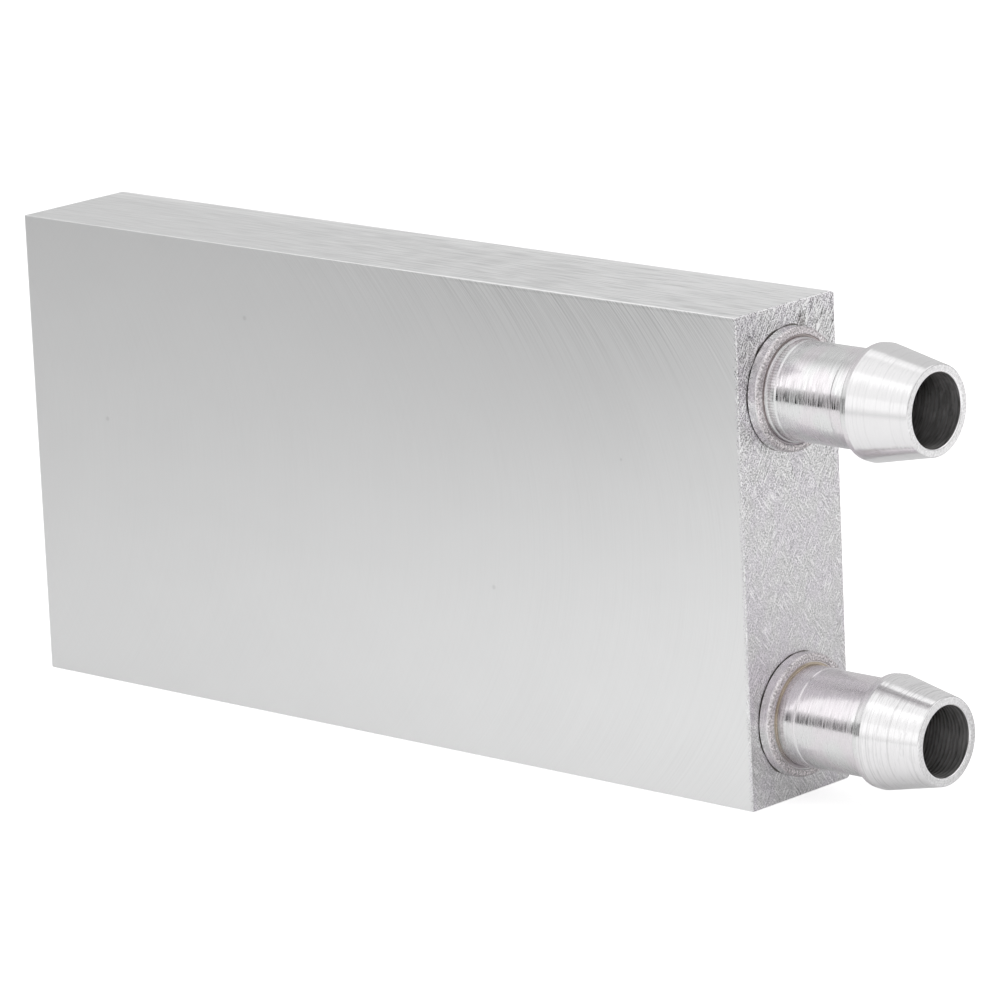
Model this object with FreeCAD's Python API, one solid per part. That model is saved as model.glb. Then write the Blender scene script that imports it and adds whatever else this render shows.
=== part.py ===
"""Aluminium liquid cooling cold plate with two hose nozzles on one end.

The plate is a flat hollow extrusion with two chambers side by side. Fins stand on both large
walls of each chamber, and a divider runs between the chambers. Each end of the extrusion is
milled out for a brazed plug that is ground flush. Coolant comes in through one nozzle, runs
down one chamber, turns round past the milled-back end of the divider and returns through the
other chamber to the second nozzle.

Millimetres. +X runs along the plate towards the nozzles, Y is the plate's thickness, and +Z is
up as the plate stands on its long narrow side. The origin is the middle of that side.
"""

import FreeCAD, Part
import os

# ---- Plate -----------------------------------------------------------------------------------
PLATE_LENGTH = 80.0
PLATE_THICKNESS = 12.0
PLATE_WIDTH = 40.0
FRONT_EDGE_RADIUS = 0.1  # long edges of the front face, left sharp by the fly cutter
BACK_EDGE_RADIUS = 0.45  # long edges of the back face, as extruded
RETURN_END_RADIUS = 0.6  # edges of the far end, eased on a sanding belt
PORT_END_CHAMFER = 0.06  # edges of the nozzle end, only deburred

# ---- Extruded section ------------------------------------------------------------------------
FACE_WALL = 2.0  # behind each large cooling face
SIDE_WALL = 2.0  # along each long narrow side
DIVIDER = 2.0  # between the two chambers
CHAMBER_CORNER_RADIUS = 0.6
FIN_COUNT = 7  # on each large wall of each chamber
FIN_HEIGHT = 1.8
FIN_ROOT = 1.1
FIN_TIP = 0.8  # the tip is a half round of this width

# ---- Milled ends and their plugs -------------------------------------------------------------
PLUG_SHOULDER = 0.6  # how far each pocket is milled out past the chambers' walls
POCKET_CORNER_RADIUS = 1.5  # the cutter's radius
PORT_PLUG_THICKNESS = 5.0
RETURN_PLUG_THICKNESS = 3.0
PLUG_FIT = 0.01  # gap all round a plug in its pocket
PLUG_LEAD_CHAMFER = 0.3
PORT_HEADER = 6.0  # fins milled back behind the port plug
RETURN_HEADER = 8.0  # fins and divider milled back behind the return plug

# ---- Hose nozzles ----------------------------------------------------------------------------
NOZZLE_INSET = 6.75  # from each long narrow side to that side's nozzle
SHANK_DIAMETER = 8.0  # the hose's bore
SHANK_LENGTH = 7.9  # from the collar to the barb
SHANK_WALL = 1.0
SHANK_ROOT_RADIUS = 0.45
SPIGOT_WALL = 0.7  # of the stub that sits in the port plug
SPIGOT_FIT = 0.01  # radial gap in the port plug
SPIGOT_CHAMFER = 0.3
COLLAR_STEP = 1.0  # how far the collar stands out past the shank
COLLAR_HEIGHT = 1.1
COLLAR_EDGE_CHAMFER = 0.25
COLLAR_BACK_CHAMFER = 0.12
BARB_STEP = 0.7  # how far the barb's crest stands out past the shank
BARB_RISE = 0.12  # length of the steep shoulder from the shank to the crest
BARB_LAND = 0.48
NOSE_LENGTH = 5.4  # taper from the crest to the tip
TIP_WALL = 0.675
TIP_EDGE_CHAMFER = 0.12
BORE_CHAMFER = 0.12

# ---- Places worked out from the sizes --------------------------------------------------------
END_X = PLATE_LENGTH / 2
MID_Z = PLATE_WIDTH / 2
CHAMBER_DEPTH = PLATE_THICKNESS - 2 * FACE_WALL
CHAMBERS_WIDTH = PLATE_WIDTH - 2 * SIDE_WALL  # both chambers and the divider
CHAMBER_WIDTH = (CHAMBERS_WIDTH - DIVIDER) / 2
CHAMBER_MID = (DIVIDER + CHAMBER_WIDTH) / 2  # from the middle of the plate's width
POCKET_DEPTH = CHAMBER_DEPTH + 2 * PLUG_SHOULDER
POCKET_WIDTH = CHAMBERS_WIDTH + 2 * PLUG_SHOULDER
PORT_PLUG_X = END_X - PORT_PLUG_THICKNESS
RETURN_PLUG_X = -END_X + RETURN_PLUG_THICKNESS
NOZZLE_HEIGHTS = {
    "upper_hose_nozzle": PLATE_WIDTH - NOZZLE_INSET,
    "lower_hose_nozzle": NOZZLE_INSET,
}
BORE_RADIUS = SHANK_DIAMETER / 2 - SHANK_WALL
SPIGOT_RADIUS = BORE_RADIUS + SPIGOT_WALL

ALONG_X = FreeCAD.Vector(1, 0, 0)


def edges_along_x(shape):
    """Edges of shape that run along the plate."""
    return [edge for edge in shape.Edges if edge.BoundBox.XLength > 1e-3]


def edges_at(shape, x):
    """Edges of shape that lie in the plane across X at x."""
    return [
        edge
        for edge in shape.Edges
        if max(abs(edge.BoundBox.XMin - x), abs(edge.BoundBox.XMax - x)) < 1e-3
    ]


def bar(depth, width, radius, z, x_from, x_to):
    """Bar along X with a rounded rectangular section, depth in Y and width in Z."""
    corner = FreeCAD.Vector(x_from, -depth / 2, z - width / 2)
    block = Part.makeBox(x_to - x_from, depth, width, corner)
    return block.makeFillet(radius, edges_along_x(block))


def fin(z, side, x_from, x_to):
    """One fin on a chamber's large wall. side is -1 for the front wall and +1 for the back."""
    root = CHAMBER_DEPTH / 2
    tip = root - FIN_HEIGHT
    shoulder = tip + FIN_TIP / 2  # where the half round at the tip starts
    buried = root + FACE_WALL / 2  # the fin grows out of solid wall

    def at(y, across):
        return FreeCAD.Vector(x_from, side * y, z + across)

    flank = [
        at(shoulder, FIN_TIP / 2),
        at(root, FIN_ROOT / 2),
        at(buried, FIN_ROOT / 2),
        at(buried, -FIN_ROOT / 2),
        at(root, -FIN_ROOT / 2),
        at(shoulder, -FIN_TIP / 2),
    ]
    end_round = Part.Arc(flank[-1], at(tip, 0), flank[0]).toShape()
    outline = Part.Wire(Part.makePolygon(flank).Edges + [end_round])
    return Part.Face(outline).extrude(ALONG_X * (x_to - x_from))


def chamber_void(z):
    """The space in one chamber between the plugs: fins stop short of both headers."""
    space = bar(
        CHAMBER_DEPTH, CHAMBER_WIDTH, CHAMBER_CORNER_RADIUS, z, RETURN_PLUG_X, PORT_PLUG_X
    )
    pitch = CHAMBER_WIDTH / FIN_COUNT
    fins = [
        fin(
            z + (i - (FIN_COUNT - 1) / 2) * pitch,
            side,
            RETURN_PLUG_X + RETURN_HEADER,
            PORT_PLUG_X - PORT_HEADER,
        )
        for side in (-1, 1)
        for i in range(FIN_COUNT)
    ]
    return space.cut(Part.makeCompound(fins))


def plug_pocket(x_from, x_to):
    """Milled pocket for a plug. The chambers' walls are left as a shoulder behind the plug."""
    return bar(POCKET_DEPTH, POCKET_WIDTH, POCKET_CORNER_RADIUS, MID_Z, x_from, x_to)


def plate_blank():
    """The plate's outer form as a solid block."""
    corner = FreeCAD.Vector(-END_X, -PLATE_THICKNESS / 2, 0)
    block = Part.makeBox(PLATE_LENGTH, PLATE_THICKNESS, PLATE_WIDTH, corner)
    long_edges = edges_along_x(block)
    extrusion = block.makeFillet(
        BACK_EDGE_RADIUS, [edge for edge in long_edges if edge.BoundBox.YMin > 0]
    )
    front_edges = [edge for edge in edges_along_x(extrusion) if edge.BoundBox.YMax < 0]
    extrusion = extrusion.makeFillet(FRONT_EDGE_RADIUS, front_edges)
    eased = block.makeFillet(RETURN_END_RADIUS, edges_at(block, -END_X))
    eased = eased.makeChamfer(PORT_END_CHAMFER, edges_at(eased, END_X))
    return extrusion.common(eased)


def extruded_body():
    """Hollow plate: the extrusion, its milled pockets and its milled-back headers."""
    return_header = bar(
        CHAMBER_DEPTH,
        CHAMBERS_WIDTH,
        CHAMBER_CORNER_RADIUS,
        MID_Z,
        RETURN_PLUG_X,
        RETURN_PLUG_X + RETURN_HEADER,
    )
    voids = [
        chamber_void(MID_Z + CHAMBER_MID),
        chamber_void(MID_Z - CHAMBER_MID),
        return_header,
        plug_pocket(PORT_PLUG_X, END_X),
        plug_pocket(-END_X, RETURN_PLUG_X),
    ]
    return plate_blank().cut(voids)


def end_plug(x_from, x_to, inner_x):
    """Plug that fills a pocket, with a lead-in chamfer round its inner face at inner_x."""
    plug = bar(
        POCKET_DEPTH - 2 * PLUG_FIT,
        POCKET_WIDTH - 2 * PLUG_FIT,
        POCKET_CORNER_RADIUS - PLUG_FIT,
        MID_Z,
        x_from,
        x_to,
    )
    return plug.makeChamfer(PLUG_LEAD_CHAMFER, edges_at(plug, inner_x))


def port_end_plug():
    """Plug at the nozzle end, bored for both nozzle spigots."""
    plug = end_plug(PORT_PLUG_X, END_X, PORT_PLUG_X)
    seats = [
        Part.makeCylinder(
            SPIGOT_RADIUS + SPIGOT_FIT,
            PORT_PLUG_THICKNESS,
            FreeCAD.Vector(PORT_PLUG_X, 0, z),
            ALONG_X,
        )
        for z in NOZZLE_HEIGHTS.values()
    ]
    return plug.cut(seats)


def return_end_plug():
    """Blank plug at the far end, behind which the coolant turns round."""
    return end_plug(-END_X, RETURN_PLUG_X, RETURN_PLUG_X)


def hose_nozzle(z):
    """Turned nozzle: spigot, collar seated on the end face, shank, one barb and a tapered nose."""
    shank = SHANK_DIAMETER / 2
    collar = shank + COLLAR_STEP
    barb = shank + BARB_STEP
    barb_start = COLLAR_HEIGHT + SHANK_LENGTH
    crest = barb_start + BARB_RISE
    tip = crest + BARB_LAND + NOSE_LENGTH
    outline = [
        (-PORT_PLUG_THICKNESS, BORE_RADIUS),
        (-PORT_PLUG_THICKNESS, SPIGOT_RADIUS - SPIGOT_CHAMFER),
        (-PORT_PLUG_THICKNESS + SPIGOT_CHAMFER, SPIGOT_RADIUS),
        (0, SPIGOT_RADIUS),
        (0, collar - COLLAR_BACK_CHAMFER),
        (COLLAR_BACK_CHAMFER, collar),
        (COLLAR_HEIGHT - COLLAR_EDGE_CHAMFER, collar),
        (COLLAR_HEIGHT, collar - COLLAR_EDGE_CHAMFER),
        (COLLAR_HEIGHT, shank),
        (barb_start, shank),
        (crest, barb),
        (crest + BARB_LAND, barb),
        (tip - TIP_EDGE_CHAMFER, BORE_RADIUS + TIP_WALL),
        (tip, BORE_RADIUS + TIP_WALL - TIP_EDGE_CHAMFER),
        (tip, BORE_RADIUS + BORE_CHAMFER),
        (tip - BORE_CHAMFER, BORE_RADIUS),
    ]
    loop = [FreeCAD.Vector(x, radius, 0) for x, radius in outline + outline[:1]]
    solid = Part.Face(Part.makePolygon(loop)).revolve(FreeCAD.Vector(0, 0, 0), ALONG_X, 360)
    root = [
        edge
        for edge in edges_at(solid, COLLAR_HEIGHT)
        if abs(edge.BoundBox.YMax - shank) < 1e-3
    ]
    solid = solid.makeFillet(SHANK_ROOT_RADIUS, root)
    solid.translate(FreeCAD.Vector(END_X, 0, z))
    return solid


def build():
    """Every piece by its node name."""
    pieces = {
        "extruded_body": extruded_body(),
        "port_end_plug": port_end_plug(),
        "return_end_plug": return_end_plug(),
    }
    for name, z in NOZZLE_HEIGHTS.items():
        pieces[name] = hose_nozzle(z)
    return pieces


os.makedirs("parts", exist_ok=True)
for name, shape in build().items():
    shape.exportStep(f"parts/{name}.step")
    print(
        f"{name}: {len(shape.Solids)} solid, valid {shape.isValid()}, "
        f"{shape.Volume / 1000:.2f} cm3, {len(shape.Faces)} faces"
    )
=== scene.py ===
"""Aluminium liquid cooling cold plate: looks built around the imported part.

Metres, in the part's own frame: +X runs along the plate to the nozzles, -Y is the front cooling
face and +Z is up, with the plate standing on the floor on its long narrow side. The materials of
the part and the nozzles' profiles are written in millimetres.
"""

import math
from types import SimpleNamespace

import bpy
import numpy as np
from mathutils import Matrix, Vector

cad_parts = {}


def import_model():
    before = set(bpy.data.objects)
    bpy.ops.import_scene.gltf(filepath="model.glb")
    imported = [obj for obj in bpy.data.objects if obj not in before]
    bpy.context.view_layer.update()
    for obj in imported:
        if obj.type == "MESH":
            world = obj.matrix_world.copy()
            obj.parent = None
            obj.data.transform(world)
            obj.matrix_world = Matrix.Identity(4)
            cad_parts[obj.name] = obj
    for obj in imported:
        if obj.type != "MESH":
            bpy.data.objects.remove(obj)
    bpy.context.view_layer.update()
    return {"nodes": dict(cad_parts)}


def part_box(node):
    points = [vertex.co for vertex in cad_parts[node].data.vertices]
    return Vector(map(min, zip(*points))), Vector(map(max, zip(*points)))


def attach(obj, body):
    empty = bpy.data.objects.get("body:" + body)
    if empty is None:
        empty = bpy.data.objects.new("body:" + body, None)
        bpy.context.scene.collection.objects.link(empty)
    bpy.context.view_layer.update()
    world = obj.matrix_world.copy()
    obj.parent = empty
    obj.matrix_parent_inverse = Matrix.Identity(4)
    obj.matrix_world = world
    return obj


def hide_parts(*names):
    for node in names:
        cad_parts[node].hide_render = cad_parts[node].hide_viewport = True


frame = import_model()

MM = 0.001

# ---- Plate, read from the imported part, millimetres ---------------------------------------------
BODY_LOW, BODY_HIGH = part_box("extruded_body")
START_X = BODY_LOW.x / MM
END_X = BODY_HIGH.x / MM
FRONT_Y = BODY_LOW.y / MM
TOP_Z = BODY_HIGH.z / MM
MID_Z = (BODY_LOW.z + BODY_HIGH.z) / 2 / MM

# ---- Finish of the plate, millimetres unless said otherwise ------------------------------------
CUTTER_RADIUS = 28.0  # of the fly cutter's arcs
CUTTER_FEED = 0.22  # spacing of the arcs
FACE_PITS = (  # X, Z and radius
    (-13.8, 33.9, 0.30), (-30.9, 23.2, 0.30), (13.1, 14.6, 0.28), (27.5, 27.1, 0.18),
)
FLUX_RADIUS = 5.0  # of the crevice round each collar
SMUDGE = (1.9, 38.2)  # Y and Z of the flux smudge
SANDING = ((57, 0.15, 1.1), (127, 0.15, 1.3))  # end scratches: degrees from +Y, width, length
MILLED_COLOR = (0.86, 0.862, 0.862, 1.0)
SANDED_COLORS = ((0.864, 0.856, 0.864, 1.0), (0.862, 0.838, 0.875, 1.0))
FLUX_COLOR = (0.10, 0.085, 0.065, 1.0)
MILLED_ROUGHNESS = 0.36
SANDED_ROUGHNESS = 0.48
PLATE_BUMP = 0.004

# ---- Nozzle profile, millimetres: x from the end face, radius, corner radius --------------------
MOUTH_X = 15.0
SPIGOT = ((-5.0, 3.4, 0), (-4.7, 3.7, 0), (0.0, 3.7, 0))
COLLAR = (
    (0.0, 4.88, 0), (0.10, 5.0, 0.03), (1.1, 5.0, 0.30),
    (1.1, 4.42, 0.02), (1.02, 4.36, 0.02), (1.02, 4.25, 0.02),
)
LIP_ROUND = 0.16
NOZZLES = {
    "upper_hose_nozzle": SimpleNamespace(
        seed=7,
        bore=3.0,
        root=((1.28, 4.17, 0.04), (1.33, 4.08, 0.03), (1.95, 4.05, 0.05), (2.1, 4.0, 0.10)),
        barb=(
            (7.52, 4.0, 0), (7.58, 4.04, 0), (9.03, 4.06, 0.05), (9.10, 4.68, 0.10),
            (9.68, 4.73, 0.10), (MOUTH_X, 3.665, 0.12),
        ),
        roughness=0.22,  # of the shank
        scoring=0.75,  # of the shank's roughness by its marks
        nose_rings=0.35,
        bore_rings=0.10,
        tarnish_and_shade=0.0,  # lilac tint and painted shade on the shank's upper half
        chatter=-0.24,  # tone of the marks at the root
        underside_shade=-0.16,  # painted shade under the shank
        corner_tint=(0.42, 0.36, 0.35, 1.0),
    ),
    "lower_hose_nozzle": SimpleNamespace(
        seed=8,
        bore=2.88,
        root=((1.03, 4.06, 0.07), (2.75, 4.06, 0.05), (2.87, 4.0, 0.05)),
        barb=((9.07, 4.0, 0.05), (9.16, 4.57, 0.10), (9.90, 4.63, 0.10), (MOUTH_X, 3.59, 0.12)),
        roughness=0.24,
        scoring=0.50,
        nose_rings=1.0,
        bore_rings=0.26,
        tarnish_and_shade=0.8,
        chatter=-0.06,
        underside_shade=0.0,
        corner_tint=(0.55, 0.45, 0.32, 1.0),
    ),
}
TURNING_MARKS = ((0.0022, 0.17), (0.0016, 0.09), (0.0040, 0.6))  # height and pitch
NOSE_MARKS = (0.0045, 0.24)
RING_SEGMENTS = 144
ARC_STEPS = 7
FINE_STEP = 0.055
COARSE_STEP = 0.5

# ---- Finish of the nozzles ---------------------------------------------------------------------
SHANK_COLORS = ((0.812, 0.815, 0.815, 1.0), (0.825, 0.792, 0.815, 1.0))
NOSE_COLOR = (0.862, 0.855, 0.862, 1.0)
# lilac tint of the shank's upper half, darkened as painted shade
TARNISH_AND_SHADE_COLOR = (0.78, 0.74, 0.77, 1.0)
COLLAR_COLOR = (0.82, 0.775, 0.79, 1.0)
# darker grey on the lower side of the collar's corner
LOWER_CORNER_COLOR = (0.47, 0.42, 0.45, 1.0)
CREVICE_COLOR = (0.20, 0.17, 0.15, 1.0)
# darker than the metal outside: painted shade in the bore
BORE_COLOR = (0.60, 0.59, 0.59, 1.0)
NOSE_ROUGHNESS = 0.18
NOZZLE_BUMP = 0.003  # millimetres
NOZZLE_ANISOTROPY = 0.5


def link_object(name, data):
    """New object in the scene with that mesh or camera."""
    obj = bpy.data.objects.new(name, data)
    bpy.context.scene.collection.objects.link(obj)
    return obj


# ================================================================================================
# Node trees
# ================================================================================================
WHITE = (1.0, 1.0, 1.0, 1.0)


class Tree:
    """Short calls for building a node tree. An input is a number, a tuple or another node's socket."""

    def __init__(self, tree):
        self.tree = tree
        tree.nodes.clear()

    def node(self, kind, inputs=None, **settings):
        """New node with those settings, its inputs given by name or index."""
        node = self.tree.nodes.new(kind)
        for name, value in settings.items():
            setattr(node, name, value)
        for key, value in (inputs or {}).items():
            self.feed(node.inputs[key], value)
        return node

    def feed(self, socket, value):
        """Link value to the socket, or set it there."""
        if isinstance(value, bpy.types.NodeSocket):
            self.tree.links.new(value, socket)
        else:
            socket.default_value = value

    def math(self, operation, *values):
        node = self.node("ShaderNodeMath", operation=operation)
        for socket, value in zip(node.inputs, values):
            self.feed(socket, value)
        return node.outputs[0]

    def add(self, *values):
        total = values[0]
        for value in values[1:]:
            total = self.math("ADD", total, value)
        return total

    def times(self, *values):
        product = values[0]
        for value in values[1:]:
            product = self.math("MULTIPLY", product, value)
        return product

    def step(self, value, low, high, to_low=0.0, to_high=1.0):
        """Smooth step of value from low to high."""
        node = self.node("ShaderNodeMapRange", interpolation_type="SMOOTHSTEP")
        for name, number in zip(
            ("Value", "From Min", "From Max", "To Min", "To Max"),
            (value, low, high, to_low, to_high),
        ):
            self.feed(node.inputs[name], number)
        return node.outputs[0]

    def vector(self, *parts):
        """Vector of three parts, each a number, a socket, or a socket with its factor."""
        parts = [self.times(*part) if isinstance(part, tuple) else part for part in parts]
        return self.node("ShaderNodeCombineXYZ", dict(zip("XYZ", parts))).outputs[0]

    def split(self, vector):
        return self.node("ShaderNodeSeparateXYZ", {0: vector}).outputs

    def noise(self, vector, detail, roughness=0.5):
        """Noise about 0, roughly between -0.5 and 0.5."""
        node = self.node(
            "ShaderNodeTexNoise",
            {"Vector": vector, "Scale": 1.0, "Detail": detail, "Roughness": roughness},
        )
        return self.math("SUBTRACT", node.outputs[0], 0.5)

    def noises(self, vector):
        """Three separate noises about 0."""
        node = self.node("ShaderNodeTexNoise", {"Vector": vector, "Scale": 1.0, "Detail": 1.0})
        return [self.math("SUBTRACT", channel, 0.5) for channel in self.split(node.outputs["Color"])]

    def blend(self, kind, inputs, output, factor, a, b):
        """Mix node of that kind, whose factor, a and b are these inputs."""
        node = self.node("ShaderNodeMix", data_type=kind)
        for index, value in zip(inputs, (factor, a, b)):
            self.feed(node.inputs[index], value)
        return node.outputs[output]

    def mix(self, factor, a, b):
        """Number a where factor is 0 and b where it is 1."""
        return self.blend("FLOAT", (0, 2, 3), 0, factor, a, b)

    def mix_color(self, factor, a, b):
        return self.blend("RGBA", (0, 6, 7), 2, factor, a, b)

    def mix_vector(self, factor, a, b):
        return self.blend("VECTOR", (0, 4, 5), 1, factor, a, b)

    def on_vectors(self, operation, a, b, output):
        """Vector math on a and b."""
        node = self.node("ShaderNodeVectorMath", {0: a, 1: b}, operation=operation)
        return node.outputs[output]

    def distance(self, a, b):
        return self.on_vectors("DISTANCE", a, b, "Value")

    def scaled(self, vector, factor):
        """Vector or colour times a number."""
        node = self.node("ShaderNodeVectorMath", {0: vector, "Scale": factor}, operation="SCALE")
        return node.outputs[0]

    def place(self):
        """Object coordinates, metres."""
        return self.node("ShaderNodeTexCoord").outputs["Object"]

    def emission(self, strength):
        """White light of that strength."""
        return self.node("ShaderNodeEmission", {"Color": WHITE, "Strength": strength}).outputs[0]

    def surface(self, shader):
        """Make that shader the material's surface."""
        self.node("ShaderNodeOutputMaterial", {"Surface": shader})


def new_material(name):
    material = bpy.data.materials.new(name)
    material.use_nodes = True
    return material, Tree(material.node_tree)


def metal_output(tree, color, roughness, height, bump_distance, brushed):
    """Metal surface with bump as the material's surface. brushed holds inputs for anisotropy."""
    bump = tree.node(
        "ShaderNodeBump", {"Height": height, "Distance": bump_distance, "Strength": 1.0}
    )
    inputs = {
        "Base Color": color,
        "Metallic": 1.0,
        "Roughness": roughness,
        "Normal": bump.outputs[0],
        **brushed,
    }
    tree.surface(tree.node("ShaderNodeBsdfPrincipled", inputs).outputs[0])


# ================================================================================================
# Plate
# ================================================================================================
def millimetres(tree):
    """Object coordinates in millimetres, and the normal: two vectors, each split in three."""
    coordinates = tree.node("ShaderNodeTexCoord")
    place = tree.scaled(coordinates.outputs["Object"], 1 / MM)
    return tree.split(place), tree.split(coordinates.outputs["Normal"])


def radius_of(tree, a, b):
    """Distance from the axis, for two coordinates square to it."""
    return tree.math("SQRT", tree.add(tree.times(a, a), tree.times(b, b)))


def turned(tree, u, v, degrees, width, length, seed):
    """Coordinates for scratches at an angle from u."""
    angle = math.radians(degrees)
    along = tree.add(tree.times(u, math.cos(angle) / length), tree.times(v, math.sin(angle) / length))
    across = tree.add(tree.times(u, -math.sin(angle) / width), tree.times(v, math.cos(angle) / width))
    return tree.vector(along, across, seed)


def pits(tree, x, z):
    """1 in the few small pits of the large faces, 0 elsewhere."""
    total = 0.0
    for pit_x, pit_z, radius in FACE_PITS:
        away = tree.distance(tree.vector(x, 0.0, z), (pit_x, 0.0, pit_z))
        total = tree.add(tree.step(away, radius, radius * 0.2), total)
    return total


def flux_lines(tree, x, y, z):
    """Dark flux left in the crevice round each collar and smudged above the upper one."""
    wander = tree.noise(tree.vector(3.0, (y, 0.8), (z, 0.8)), 0.0)
    total = 0.0
    for node in NOZZLES:
        low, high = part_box(node)
        rise = tree.math("SUBTRACT", z, (low.z + high.z) / 2 / MM)
        edge = tree.add(FLUX_RADIUS, tree.times(wander, 0.30), tree.step(rise, 3.0, 5.0, 0.0, 0.05))
        past = tree.math("SUBTRACT", radius_of(tree, y, rise), edge)
        total = tree.add(tree.step(past, 0.05, -0.03), total)
    away = tree.distance(tree.vector(0.0, (y, 0.6), z), (0.0, 0.6 * SMUDGE[0], SMUDGE[1]))
    smudge = tree.step(tree.add(away, tree.times(wander, 0.8)), 0.75, 0.0)
    total = tree.add(tree.times(total, 0.80), tree.times(smudge, 0.50))
    return tree.times(total, tree.step(x, END_X - 0.05, END_X - 0.01))


def plate_noises(tree, x, y, z, on_side, on_end):
    """Noises about 0. Each node serves every kind of face, with coordinates of its own there."""
    def on_faces(front, side, end):
        return tree.mix_vector(on_end, tree.mix_vector(on_side, front, side), end)

    rise = tree.math("SUBTRACT", z, MID_Z)
    reach = tree.math("SQRT", tree.math("SUBTRACT", CUTTER_RADIUS ** 2, tree.times(rise, rise)))
    leading = tree.times(tree.math("SUBTRACT", x, reach), 1 / CUTTER_FEED)
    trailing = tree.times(tree.add(x, reach), 0.9 / CUTTER_FEED)
    coarse = tree.noise(on_faces(
        tree.vector(leading, (z, 0.05), 3.0),
        tree.vector((x, 0.16), (y, 2.9), 2.0),
        tree.vector((x, 6.0), (y, 6.0), (z, 6.0)),
    ), 2.0, 0.62)
    fine = tree.noise(on_faces(
        tree.vector((leading, 2.6), (z, 0.11), 9.0),
        tree.vector((x, 0.30), (y, 5.2), 4.0),
        turned(tree, y, z, *SANDING[0], 5.0),
    ), 1.0)
    cross = tree.noise(on_faces(
        tree.vector(trailing, (z, 0.06), 5.0),
        tree.vector((x, 0.10), (y, 1.7), 7.0),
        turned(tree, y, z, *SANDING[1], 16.0),
    ), 1.0)
    cloud, blush, patch = tree.noises(on_faces(
        tree.vector((x, 0.14), 4.0, (z, 0.22)),
        tree.vector((x, 0.14), (y, 0.3), 8.0),
        tree.vector(5.0, (y, 0.60), (z, 0.42)),
    ))
    grit, glint, wobble = tree.noises(tree.vector((x, 8.0), (y, 8.0), (z, 8.0)))
    return SimpleNamespace(
        coarse=coarse, fine=fine, cross=cross, cloud=cloud, blush=blush, patch=patch,
        grit=grit, glint=glint, wobble=wobble,
    )


def arc_depth(tree, x, z):
    """Depth of the cutter's arcs: greatest at the top towards the nozzles."""
    top_right = tree.times(tree.step(z, 33.0, 41.5), tree.step(x, -20.0, 30.0, 0.0, 1.6))
    low_right = tree.times(tree.step(z, 9.0, 1.0), tree.step(x, -5.0, 38.0))
    return tree.add(0.06, top_right, tree.times(low_right, 0.12), tree.step(x, 4.0, 40.0, 0.0, 0.07))


def front_tone(tree, x, z, noise, depth):
    """Fly-cut faces: arcs, clouds, pits, a painted highlight along the far edge and a dark line under
    the top arris.
    """
    cut = tree.add(
        tree.times(tree.add(noise.coarse, tree.times(noise.fine, 1.2)), depth),
        tree.times(noise.cross, 0.06),
    )
    under_arris = tree.times(
        tree.step(z, TOP_Z - 0.40, TOP_Z - 0.30),
        tree.step(z, TOP_Z - 0.14, TOP_Z - 0.20),
        tree.step(x, 2.0, 16.0),
    )
    return tree.add(
        1.0,
        tree.times(cut, 0.30),
        tree.times(tree.step(noise.coarse, -0.03, -0.12), depth, -0.05),
        tree.times(noise.cloud, 0.03),
        tree.times(pits(tree, x, z), -0.12),
        # painted highlight: the far edge brightened as if its rounded corner caught the light
        tree.step(x, START_X + 0.45, START_X + 0.25, 0.0, 0.16),
        tree.times(under_arris, -0.07),
    )


def side_tone(tree, x, y, noise):
    """Narrow sides: brushed along X, more worn towards the nozzles, with a painted highlight along the
    back.
    """
    worn = tree.step(x, -30.0, 38.0, 0.6, 2.0)
    return tree.add(
        1.0,
        tree.times(noise.coarse, worn, 0.34),
        tree.times(noise.fine, worn, 0.46),
        tree.times(noise.cross, 0.14),
        # painted highlight along the back edge, broken up by noise
        tree.times(tree.step(y, 2.8, 5.6), tree.step(noise.cross, -0.15, 0.15, 0.07, 0.21)),
        tree.times(tree.step(y, -3.0, 3.0), tree.step(x, 4.0, 36.0), 0.06),
        tree.step(x, 12.0, 32.0, 0.0, 0.05),
    )


def end_tone(tree, z, noise):
    """Sanded ends: grit and scratches that lean one way or the other, rougher towards the top, with
    painted shade darkening the top and painted glints.
    """
    lean = tree.step(tree.add(noise.cloud, tree.step(z, 24.0, 32.0, 0.0, 0.12)), -0.05, 0.05)
    strokes = tree.mix(lean, noise.cross, noise.fine)
    grain = tree.step(z, 14.0, 37.0, 0.66, 1.50)
    scratching = tree.step(z, 22.0, 37.0, 0.52, 1.55)
    return tree.add(
        # painted shade: the sanded colour darker towards the top
        tree.step(z, 24.0, 36.0, 0.84, 0.78),
        tree.times(noise.coarse, grain, 0.9),
        tree.times(noise.grit, grain, 1.5),
        # bright specks: painted glints
        tree.times(tree.step(noise.glint, 0.10, 0.20), grain, 0.38),
        tree.times(strokes, scratching, tree.step(noise.patch, -0.15, 0.10, 0.5, 1.5)),
        tree.times(tree.step(strokes, 0.08, 0.18), scratching, 0.34),
    )


def painted_edge_highlights(tree, x, y, z, steep, blush):
    """What the long eased edges add: a painted highlight along them, and along the front top one a
    burred strip brightened as a painted highlight.
    """
    arris = tree.times(tree.step(steep, 0.25, 0.45), tree.step(steep, 0.92, 0.80))
    # painted highlight on the eased edges, stronger towards the nozzles
    eased_edge_highlight = tree.times(arris, tree.step(x, -38.0, 10.0, 0.03, 0.15))
    # burred strip of the front top edge, brightened unevenly along X: painted highlight
    burr_and_highlight = tree.times(
        tree.add(tree.step(x, 6.0, 16.0, 0.0, 0.34), tree.step(x, 24.0, 34.0, 0.0, -0.24)),
        tree.step(y, FRONT_Y + 0.20, FRONT_Y + 0.12),
        tree.step(z, TOP_Z - 0.16, TOP_Z - 0.08),
    )
    wavy = tree.step(blush, -0.12, 0.12, 0.6, 1.4)
    return tree.times(tree.add(eased_edge_highlight, burr_and_highlight), wavy)


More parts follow.
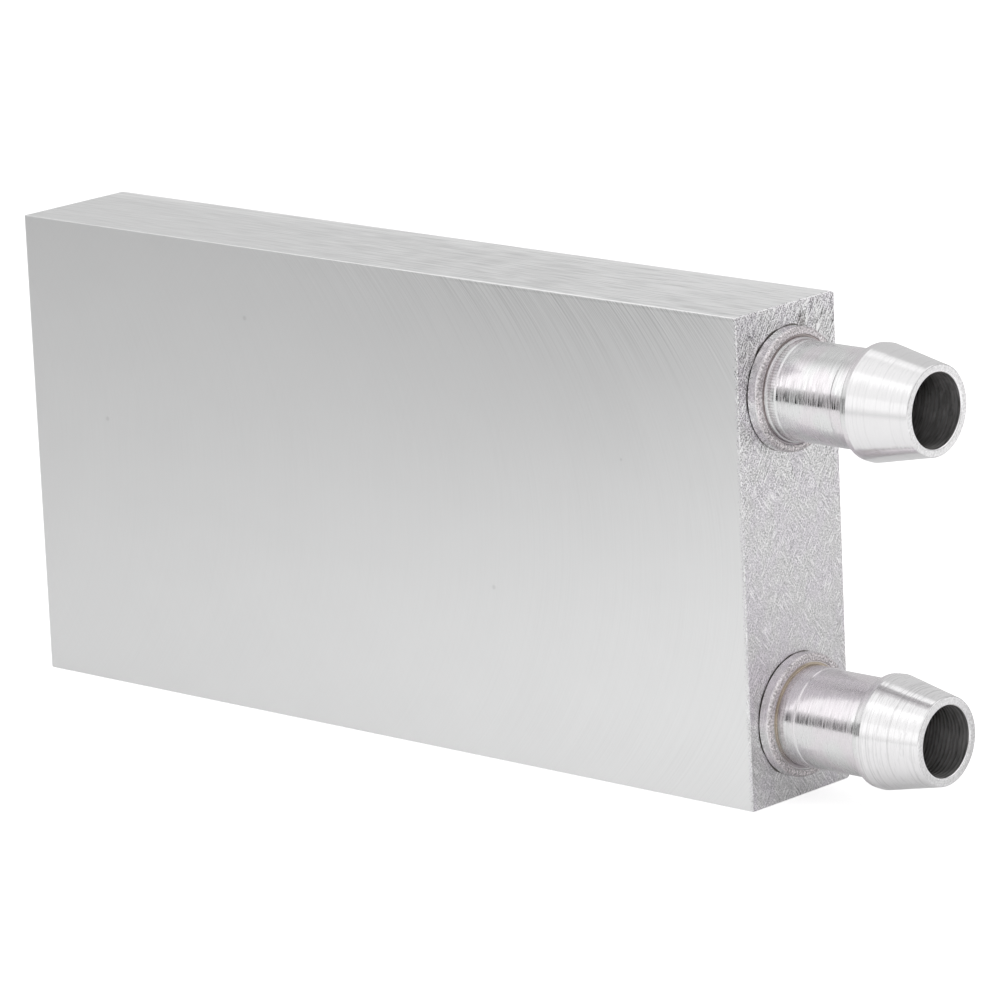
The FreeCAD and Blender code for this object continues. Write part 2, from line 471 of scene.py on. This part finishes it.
def plate_material(name):
    """Fly-cut large faces, brushed narrow sides and sanded ends, told apart by the normal."""
    material, tree = new_material(name)
    (x, y, z), normal = millimetres(tree)
    steep = tree.math("ABSOLUTE", normal[2])
    on_side = tree.step(steep, 0.6, 0.8)
    on_end = tree.step(tree.math("ABSOLUTE", normal[0]), 0.6, 0.8)
    noise = plate_noises(tree, x, y, z, on_side, on_end)
    ragged = tree.step(tree.add(x, tree.times(noise.wobble, 1.2)), END_X - 0.30, END_X - 0.12)
    on_end = tree.math("MAXIMUM", on_end, tree.times(ragged, 0.8))

    def on_faces(front, side, end):
        return tree.mix(on_end, tree.mix(on_side, front, side), end)

    depth = arc_depth(tree, x, z)
    tone = on_faces(
        front_tone(tree, x, z, noise, depth), side_tone(tree, x, y, noise), end_tone(tree, z, noise)
    )
    tone = tree.add(tone, painted_edge_highlights(tree, x, y, z, steep, noise.blush))
    sanded = tree.mix_color(tree.step(noise.blush, -0.12, 0.12), *SANDED_COLORS)
    color = tree.scaled(tree.mix_color(on_end, MILLED_COLOR, sanded), tone)
    color = tree.mix_color(flux_lines(tree, x, y, z), color, FLUX_COLOR)
    roughness = tree.add(
        tree.mix(on_end, MILLED_ROUGHNESS, SANDED_ROUGHNESS),
        tree.times(noise.coarse, on_faces(0.04, 0.2, 0.3)),
    )
    height = tree.times(noise.coarse, on_faces(depth, 0.6, 0.9))
    metal_output(tree, color, roughness, height, PLATE_BUMP * MM, {})
    return material


# ================================================================================================
# Nozzles
# ================================================================================================
def rounded(points):
    """Closed outline through (x, r, corner radius) points with its corners rounded."""
    outline = []
    count = len(points)
    for index, (x, r, radius) in enumerate(points):
        here = Vector((x, r))
        if radius <= 0:
            outline.append(here)
            continue
        before = (Vector(points[index - 1][:2]) - here).normalized()
        after = (Vector(points[(index + 1) % count][:2]) - here).normalized()
        half = before.angle(after) / 2
        reach = radius / math.tan(half)
        centre = here + (before + after).normalized() * (radius / math.sin(half))
        start = here + before * reach - centre
        sweep = start.angle_signed(here + after * reach - centre)
        for step in range(ARC_STEPS + 1):
            spoke = start.copy()
            spoke.rotate(Matrix.Rotation(-sweep * step / ARC_STEPS, 2))
            outline.append(centre + spoke)
    return outline


def longest_step(at):
    """Length of the runs at (x, r): fine on the outside, which is seen, and coarse elsewhere."""
    x, r = at
    return FINE_STEP if x > 0.05 and r > 3.2 else COARSE_STEP


def subdivided(outline):
    """Closed outline with no run longer than its longest step."""
    fine = []
    for index, here in enumerate(outline):
        after = outline[(index + 1) % len(outline)]
        pieces = max(1, math.ceil((after - here).length / longest_step((here + after) / 2)))
        fine += [here.lerp(after, piece / pieces) for piece in range(pieces)]
    return fine


def smooth_noise(rng, xs, height, pitch):
    """Seeded noise about 0 along xs."""
    knots = np.arange(xs.min() - 2 * pitch, xs.max() + 3 * pitch, pitch)
    values = rng.uniform(-1, 1, len(knots))
    return height * np.interp(xs, knots, values)


def nozzle_outline(own):
    """Outline of one nozzle, (x, r) in millimetres, with its turning marks."""
    corners = [
        (SPIGOT[0][0], own.bore, 0), *SPIGOT, *COLLAR, *own.root, *own.barb,
        (MOUTH_X, own.bore, LIP_ROUND),
    ]
    points = np.array([tuple(point) for point in subdivided(rounded(corners))])
    rng = np.random.default_rng(own.seed)
    xs = points[:, 0]
    marks = sum(smooth_noise(rng, xs, height, pitch) for height, pitch in TURNING_MARKS)
    on_nose = np.clip((xs - 9.8) / 0.3, 0, 1)
    marks += on_nose * own.nose_rings * smooth_noise(rng, xs, *NOSE_MARKS)
    outer = (xs > 1.3) & (points[:, 1] > 3.55)
    points[:, 1] += np.where(outer, marks, 0)
    return points


def lathe(name, points):
    """Mesh of revolution about X from a closed (x, r) outline in millimetres."""
    angles = np.linspace(0, 2 * math.pi, RING_SEGMENTS, endpoint=False)
    x, r = points[:, 0, None] * MM, points[:, 1, None] * MM
    vertices = np.stack(
        [x + 0 * angles, r * np.cos(angles), r * np.sin(angles)], axis=-1
    ).reshape(-1, 3)
    faces = []
    for row in range(len(points)):
        here = row * RING_SEGMENTS
        after = (row + 1) % len(points) * RING_SEGMENTS
        for column in range(RING_SEGMENTS):
            beside = (column + 1) % RING_SEGMENTS
            faces.append((here + column, here + beside, after + beside, after + column))
    mesh = bpy.data.meshes.new(name)
    mesh.from_pydata(vertices.tolist(), [], faces)
    mesh.polygons.foreach_set("use_smooth", [True] * len(faces))
    mesh.update()
    return mesh


def nozzle_zones(tree, x, y, z, radius, angle, normal_x, own):
    """Each zone of a nozzle: 1 in it and 0 elsewhere. X is from the end face, in millimetres."""
    root_radius = own.root[0][1]
    on_face = tree.step(tree.math("ABSOLUTE", normal_x), 0.6, 0.85)
    return SimpleNamespace(
        face=on_face,
        crevice=tree.step(x, 0.07, 0.03),
        annulus=tree.times(
            tree.step(x, 0.80, 1.0), tree.step(x, 2.0, 1.4), tree.step(radius, 4.34, 4.44)
        ),
        shoulder=tree.times(
            tree.step(x, 0.98, 1.02), tree.step(x, 1.36, 1.30), tree.step(radius, 4.36, 4.30)
        ),
        corner=tree.times(
            tree.step(radius, root_radius + 0.27, root_radius + 0.19), tree.step(x, 1.15, 1.09)
        ),
        root=tree.step(x, 1.9, 1.2),
        chatter=tree.times(
            tree.step(tree.math("SINE", tree.times(angle, 104.0)), -0.2, 0.6),
            tree.step(x, 1.26, 1.36),
            tree.step(x, 2.1, 1.7),
            tree.step(y, -0.5, -2.5),
            tree.step(z, -3.0, -1.0),
        ),
        shank=tree.step(x, 8.8, 8.2),
        nose=tree.step(x, 9.5, 9.8),
        tip=tree.times(tree.step(x, MOUTH_X - 0.07, MOUTH_X - 0.02), on_face),
        # burred inner lip, brightened as a painted highlight
        lip=tree.times(
            tree.step(x, MOUTH_X - 0.18, MOUTH_X - 0.10),
            tree.step(radius, own.bore + 0.18, own.bore + 0.10),
        ),
        bore=tree.times(
            tree.step(radius, own.bore + 0.12, own.bore + 0.04),
            tree.step(x, MOUTH_X - 0.10, MOUTH_X - 0.18),
        ),
    )


def nozzle_noises(tree, x, y, z, radius, on_face, seed):
    """Noises about 0: turning marks, fine and broad, then grain and a slow drift."""
    return SimpleNamespace(
        fine=tree.noise(tree.mix_vector(
            on_face,
            tree.vector((x, 9.0), (y, 0.9), tree.add(tree.times(z, 0.9), seed)),
            tree.vector((radius, 9.0), (x, 0.5), seed + 3.0),
        ), 2.0, 0.6),
        broad=tree.noise(
            tree.vector((x, 5.0), (y, 0.05), tree.add(tree.times(z, 0.05), seed + 7.0)), 2.0
        ),
        grain=tree.noise(tree.vector((x, 6.5), (y, 6.5), (z, 6.5)), 1.0),
        drift=tree.noise(tree.vector((x, 0.45), (y, 0.45), (z, 0.45)), 0.0),
    )


def nozzle_tone(tree, x, z, angle, zones, noise, own):
    """Turning marks, rings, grain, and the zones that are darker or lighter, with painted shade under
    the shank and a painted highlight at the lip.
    """
    thread = tree.math("SINE", tree.add(tree.times(x, 17.0), tree.times(noise.drift, 9.0), angle))
    rings = tree.times(zones.nose, own.nose_rings)
    grained = tree.add(
        tree.times(zones.root, 0.2), tree.times(zones.annulus, 1.7), tree.times(zones.tip, 0.6)
    )
    return tree.add(
        1.0,
        tree.times(noise.fine, tree.mix(zones.bore, 0.10, 1.2)),
        tree.times(zones.bore, thread, own.bore_rings),
        tree.times(noise.broad, 0.05),
        tree.times(rings, 0.07),
        tree.times(rings, tree.step(noise.broad, 0.0, 0.16), -0.16),
        tree.times(rings, tree.step(noise.fine, 0.02, 0.16), -0.12),
        tree.times(noise.grain, grained),
        tree.times(zones.annulus, -0.18),
        tree.times(zones.shoulder, -0.16),
        tree.times(zones.chatter, own.chatter),
        # painted shade under the shank
        tree.times(tree.step(z, -1.8, -2.6), zones.shank, own.underside_shade),
        tree.times(zones.tip, -0.07),
        # burred inner lip and painted highlight along it
        tree.times(zones.lip, 0.16),
        tree.times(zones.bore, noise.drift, 2.0),
    )


def nozzle_color(tree, y, z, zones, drift, own):
    """Colour before the tone, with each zone's laid over those before it."""
    upper = tree.step(tree.add(z, tree.times(y, -0.6)), -3.5, 3.5)
    color = tree.mix_color(tree.step(drift, -0.12, 0.12), *SHANK_COLORS)
    for zone, over in (
        (zones.nose, NOSE_COLOR),
        # upper half of the shank: lilac tint and painted shade
        (tree.times(tree.step(z, -1.0, 2.5), zones.shank, own.tarnish_and_shade), TARNISH_AND_SHADE_COLOR),
        (zones.annulus, COLLAR_COLOR),
        # collar's corner: tinted above, darker grey towards the bottom
        (tree.times(zones.corner, 0.8), tree.mix_color(upper, LOWER_CORNER_COLOR, own.corner_tint)),
        (zones.crevice, CREVICE_COLOR),
        # painted shade: the bore's darker colour
        (zones.bore, BORE_COLOR),
    ):
        color = tree.mix_color(zone, color, over)
    return color


def nozzle_material(name, own):
    """Turned aluminium, with painted shade in the bore and the tinted corner of the collar."""
    material, tree = new_material(name)
    (x, y, z), normal = millimetres(tree)
    radius = radius_of(tree, y, z)
    angle = tree.math("ARCTAN2", z, y)
    zones = nozzle_zones(tree, x, y, z, radius, angle, normal[0], own)
    noise = nozzle_noises(tree, x, y, z, radius, zones.face, float(own.seed))
    marks = tree.add(noise.fine, tree.times(noise.broad, 0.5))
    tone = nozzle_tone(tree, x, z, angle, zones, noise, own)
    color = tree.scaled(nozzle_color(tree, y, z, zones, noise.drift, own), tone)
    roughness = tree.add(
        own.roughness,
        tree.times(marks, tree.mix(zones.nose, own.scoring, 0.25)),
        tree.times(zones.annulus, 0.2),
        tree.times(zones.nose, NOSE_ROUGHNESS - own.roughness),
        tree.times(zones.bore, 0.2),
    )
    height = tree.add(marks, tree.times(zones.annulus, tree.times(noise.grain, 3.0)))
    tangent = tree.node("ShaderNodeTangent", direction_type="RADIAL", axis="X")
    brushed = {
        "Anisotropic": NOZZLE_ANISOTROPY,
        "Anisotropic Rotation": 0.25,
        "Tangent": tangent.outputs[0],
    }
    metal_output(tree, color, roughness, height, NOZZLE_BUMP * MM, brushed)
    return material


def add_nozzle(node, own):
    """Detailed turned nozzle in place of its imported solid."""
    low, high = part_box(node)
    obj = link_object(node + "_turned", lathe(node, nozzle_outline(own)))
    obj.location = (BODY_HIGH.x, 0.0, (low.z + high.z) / 2)
    obj.data.materials.append(nozzle_material(node + "_aluminium", own))
    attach(obj, "root")
    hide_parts(node)


# ================================================================================================
# Studio
# ================================================================================================
WORLD_LIGHT = 0.66  # where the camera doesn't look

FLOOR_SIZE = 6.0
FLOOR_COLOR = (0.75, 0.75, 0.75, 1.0)
FLOOR_WHITENING = 0.64  # where the camera looks
FLOOR_GLOSS = (0.075, 0.21, 0.24)  # in the metal: everywhere, before the nozzles and beyond them
BEFORE_NOZZLES = (0.045, -0.065, 0.0)

ALONG = Vector((0.634, 0.773, 0.0))  # along the softbox's back edge
FORWARD = Vector((0.773, -0.634, 0.0))  # from that edge over the object, towards the camera
BOX_HEIGHT = 0.30
BOX_EDGES = (-0.165, 0.45)  # back and front, along FORWARD
BOX_ENDS = (-1.25, 0.35)  # along ALONG
BOX_GLOW = (0.58, 1.36)  # at the back edge and 0.14 m from it
BOX_DIMMING = 0.72  # overhead and in front
BOX_MIDDLE = (0.01, 0.0, BOX_HEIGHT)
BOX_SPOT = (-0.088, 0.098, BOX_HEIGHT)
SPOT_GLOW = 0.48

PANEL_AZIMUTH = math.radians(-98)
PANEL_DISTANCE = 0.22
PANEL_FROM = Vector((0.047, 0, 0.055))  # between the nozzles
PANEL_GLOW = (0.85, 1.1)  # low and high

TABLE_SIDE = Vector((-0.68, -0.733, 0.0))  # away from the object, past the nozzles' side
TABLE_EDGE = Vector((0.733, -0.68, 0.0))

CAMERA_TURN = (0.7490898, 0.2395511, -0.0450932)  # azimuth, elevation and roll, radians
CAMERA_PLACE = (6.4182, -1.11141, 565.2022)  # right, up and back from the plate's middle, millimetres
CAMERA_LENS = 245.46


def world():
    """Grey studio, white where the camera looks past the floor."""
    scene_world = bpy.data.worlds.new("studio")
    bpy.context.scene.world = scene_world
    scene_world.use_nodes = True
    tree = Tree(scene_world.node_tree)
    path = tree.node("ShaderNodeLightPath")
    strength = tree.mix(path.outputs["Is Camera Ray"], WORLD_LIGHT, 1.0)
    shader = tree.node("ShaderNodeBackground", {"Color": WHITE, "Strength": strength})
    tree.node("ShaderNodeOutputWorld", {"Surface": shader.outputs[0]})


def panel(name, centre, right, up, width, height):
    """Flat stage panel that faces right x up, with its own tree for a material."""
    right, up = Vector(right).normalized(), Vector(up).normalized()
    corners = [
        Vector(centre) + right * (a * width / 2) + up * (b * height / 2)
        for a, b in ((-1, -1), (1, -1), (1, 1), (-1, 1))
    ]
    mesh = bpy.data.meshes.new(name)
    mesh.from_pydata([tuple(c) for c in corners], [], [(0, 1, 2, 3)])
    obj = link_object(name, mesh)
    material, tree = new_material(name)
    obj.data.materials.append(material)
    return obj, tree


def floor():
    """Plain white floor, which the metal sees brighter before the nozzles and beyond them."""
    _, tree = panel("floor", (0, 0, 0), (1, 0, 0), (0, 1, 0), FLOOR_SIZE, FLOOR_SIZE)
    path = tree.node("ShaderNodeLightPath")
    place = tree.place()
    x, y, _ = tree.split(place)
    near = tree.times(
        tree.step(tree.distance(place, BEFORE_NOZZLES), 0.14, 0.03), tree.step(y, 0.0, -0.008)
    )
    beyond = tree.step(x, 0.055, 0.100)
    everywhere, before_nozzles, past_nozzles = FLOOR_GLOSS
    gloss = tree.add(
        everywhere, tree.times(near, before_nozzles), tree.times(beyond, past_nozzles)
    )
    lift = tree.add(
        tree.times(path.outputs["Is Camera Ray"], FLOOR_WHITENING),
        tree.times(path.outputs["Is Glossy Ray"], gloss),
    )
    diffuse = tree.node("ShaderNodeBsdfDiffuse", {"Color": FLOOR_COLOR})
    both = tree.node("ShaderNodeAddShader", {0: diffuse.outputs[0], 1: tree.emission(lift)})
    tree.surface(both.outputs[0])


def softbox():
    """Wide softbox over the object, dimmer along its back edge, overhead and in front."""
    (back, front), (left, right) = BOX_EDGES, BOX_ENDS
    centre = (
        ALONG * ((left + right) / 2) + FORWARD * ((back + front) / 2) + Vector((0, 0, BOX_HEIGHT))
    )
    obj, tree = panel("softbox", centre, FORWARD, ALONG, front - back, right - left)
    obj.visible_camera = False
    place = tree.place()
    across = tree.on_vectors("DOT_PRODUCT", place, FORWARD, "Value")
    overhead = tree.step(tree.distance(place, BOX_MIDDLE), 0.20, 0.12)
    dimmed = tree.math("MAXIMUM", overhead, tree.step(across, 0.05, 0.15))
    bright_spot = tree.step(tree.distance(place, BOX_SPOT), 0.08, 0.03)
    glow = tree.add(
        tree.times(
            tree.step(across, back, back + 0.14, *BOX_GLOW), tree.mix(dimmed, 1.0, BOX_DIMMING)
        ),
        tree.times(bright_spot, SPOT_GLOW),
    )
    tree.surface(tree.emission(glow))


def front_panel():
    """White panel at front right, low enough to fill the noses of the nozzles."""
    away = Vector((math.cos(PANEL_AZIMUTH), math.sin(PANEL_AZIMUTH), 0.0))
    centre = away * PANEL_DISTANCE + PANEL_FROM
    obj, tree = panel("front_panel", centre, (-away.y, away.x, 0), (0, 0, 1), 0.15, 0.11)
    obj.visible_camera = False
    rise = tree.split(tree.place())[2]
    tree.surface(tree.emission(tree.step(rise, 0.0, 0.05, *PANEL_GLOW)))


def dark_card(name, left_end, right_end, near, reach, height, dark_to, low_glow, high_glow):
    """Tilted card seen only in the metal: one glow from its foot to dark_to, another at its top."""
    near_edge = TABLE_SIDE * near + TABLE_EDGE * ((left_end + right_end) / 2)
    far_edge = near_edge + TABLE_SIDE * reach + Vector((0, 0, height))
    obj, tree = panel(
        name, (near_edge + far_edge) / 2, TABLE_EDGE, far_edge - near_edge,
        right_end - left_end, (far_edge - near_edge).length,
    )
    obj.visible_camera = False
    obj.visible_diffuse = False
    obj.visible_shadow = False
    rise = tree.split(tree.place())[2]
    tree.surface(tree.emission(tree.step(rise, dark_to, height, low_glow, high_glow)))


def camera():
    """Camera at the left front of the nozzle end, a little above the plate."""
    azimuth, elevation, roll = CAMERA_TURN
    right = Vector((math.cos(azimuth), math.sin(azimuth), 0))
    back = Vector((
        math.sin(azimuth) * math.cos(elevation),
        -math.cos(azimuth) * math.cos(elevation),
        math.sin(elevation),
    ))
    up = back.cross(right)
    turned_right = right * math.cos(roll) + up * math.sin(roll)
    turned_up = up * math.cos(roll) - right * math.sin(roll)
    axes = (turned_right, turned_up, back)
    place = sum((axis * part for axis, part in zip(axes, CAMERA_PLACE)), Vector((0, 0, MID_Z)))
    data = bpy.data.cameras.new("camera")
    data.sensor_width = 36.0
    data.lens = CAMERA_LENS
    data.clip_start = 0.01
    obj = link_object("camera", data)
    turn = Matrix(axes).transposed().to_quaternion()
    obj.matrix_world = Matrix.LocRotScale(place * MM, turn, None)
    bpy.context.scene.camera = obj


camera()
world()
floor()
softbox()
front_panel()
dark_card(
    "dark_card", left_end=-0.30, right_end=0.023, near=0.095, reach=0.125, height=0.071,
    dark_to=0.0, low_glow=0.65, high_glow=0.13,
)
dark_card(
    "dark_strip", left_end=0.023, right_end=0.058, near=0.122, reach=0.110, height=0.095,
    dark_to=0.02, low_glow=0.0, high_glow=0.75,
)
for node, finish in (
    ("extruded_body", "plate_finish"),
    ("port_end_plug", "port_plug_finish"),
    ("return_end_plug", "return_plug_finish"),
):
    mesh = frame["nodes"][node].data
    mesh.materials.clear()
    mesh.materials.append(plate_material(finish))
for node, own in NOZZLES.items():
    add_nozzle(node, own)

bpy.context.scene.view_settings.view_transform = "Standard"
